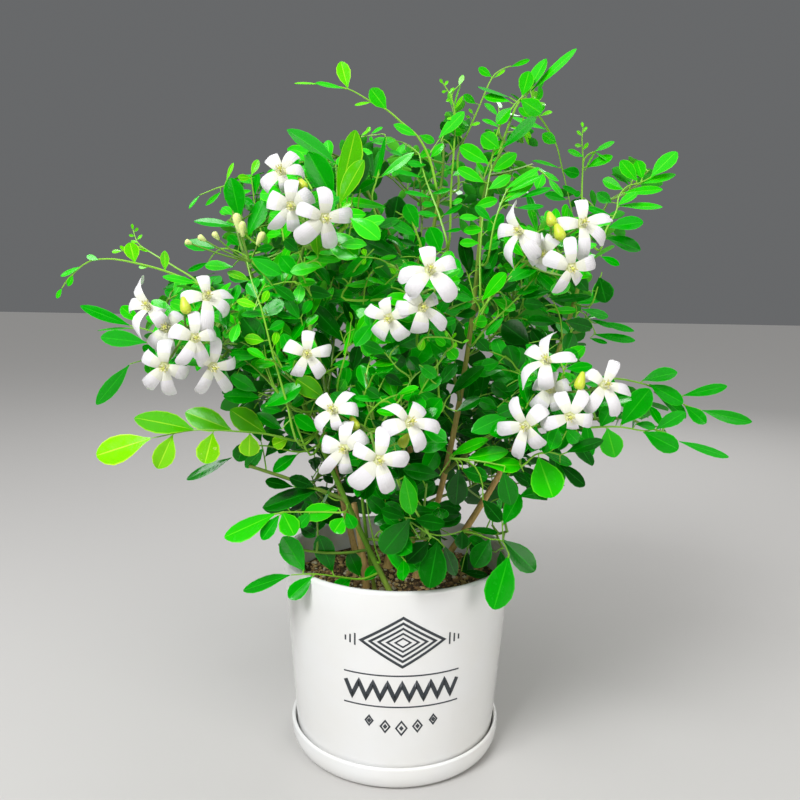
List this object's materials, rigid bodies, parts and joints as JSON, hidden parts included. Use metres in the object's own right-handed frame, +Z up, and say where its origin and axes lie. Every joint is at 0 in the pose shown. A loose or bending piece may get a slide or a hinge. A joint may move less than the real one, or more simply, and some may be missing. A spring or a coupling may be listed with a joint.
{
  "type": "potted orange jasmine",
  "caption": "Flowering shrub with pinnate leaves and white blossom clusters on several slender stems, in a round tapered white pot with its saucer.",
  "frame": {"origin": "centre of the saucer's flat underside, on the surface that the pot stands on", "axes": "+Z up along the pot's axis, the plant's front faces -Y, +X is to the viewer's right"},
  "size_m": [0.4121, 0.3076, 0.4127],
  "materials": {
    "glazed_ware": "glazed satin white",
    "potting_mix": "moist gritty potting mix",
    "bark": "fissured tan bark",
    "young_wood": "smooth green young bark",
    "foliage": "glossy leaves with white blossom"
  },
  "bodies": {
    "root": {"bough_back_centre": "young_wood", "bough_back_low": "young_wood", "bough_back_low_left": "young_wood", "bough_back_low_right": "young_wood", "bough_back_right": "young_wood", "bough_centre_front": "young_wood", "bough_left": "young_wood", "bough_left_back": "young_wood", "bough_left_front": "young_wood", "bough_low_back_left": "young_wood", "bough_low_back_right": "young_wood", "bough_low_left": "young_wood", "bough_low_right_rim": "young_wood", "bough_right": "young_wood", "bough_right_front": "young_wood", "bough_right_middle": "young_wood", "bough_top_left": "young_wood", "bough_upper_left_front": "young_wood", "bough_upper_right_front": "young_wood", "foliage_back_centre": "foliage", "foliage_back_left": "foliage", "foliage_back_low": "foliage", "foliage_back_low_left": "foliage", "foliage_back_low_right": "foliage", "foliage_back_right": "foliage", "foliage_centre_front": "foliage", "foliage_inner_left": "foliage", "foliage_inner_left_front": "foliage", "foliage_inner_right": "foliage", "foliage_left": "foliage", "foliage_left_back": "foliage", "foliage_left_front": "foliage", "foliage_low_back_left": "foliage", "foliage_low_back_right": "foliage", "foliage_low_centre_front": "foliage", "foliage_low_front": "foliage", "foliage_low_left": "foliage", "foliage_low_left_rim": "foliage", "foliage_low_right_rim": "foliage", "foliage_right": "foliage", "foliage_right_front": "foliage", "foliage_right_middle": "foliage", "foliage_top_back": "foliage", "foliage_top_centre": "foliage", "foliage_top_left": "foliage", "foliage_top_right": "foliage", "foliage_upper_left": "foliage", "foliage_upper_left_front": "foliage", "foliage_upper_right": "foliage", "foliage_upper_right_front": "foliage", "pot": "glazed_ware", "saucer": "glazed_ware", "soil": "potting_mix", "stem_back": "bark", "stem_back_left": "bark", "stem_centre": "bark", "stem_left": "bark", "stem_right": "bark", "stem_slender": "bark", "stem_tall": "bark"}
  },
  "joints": []
}
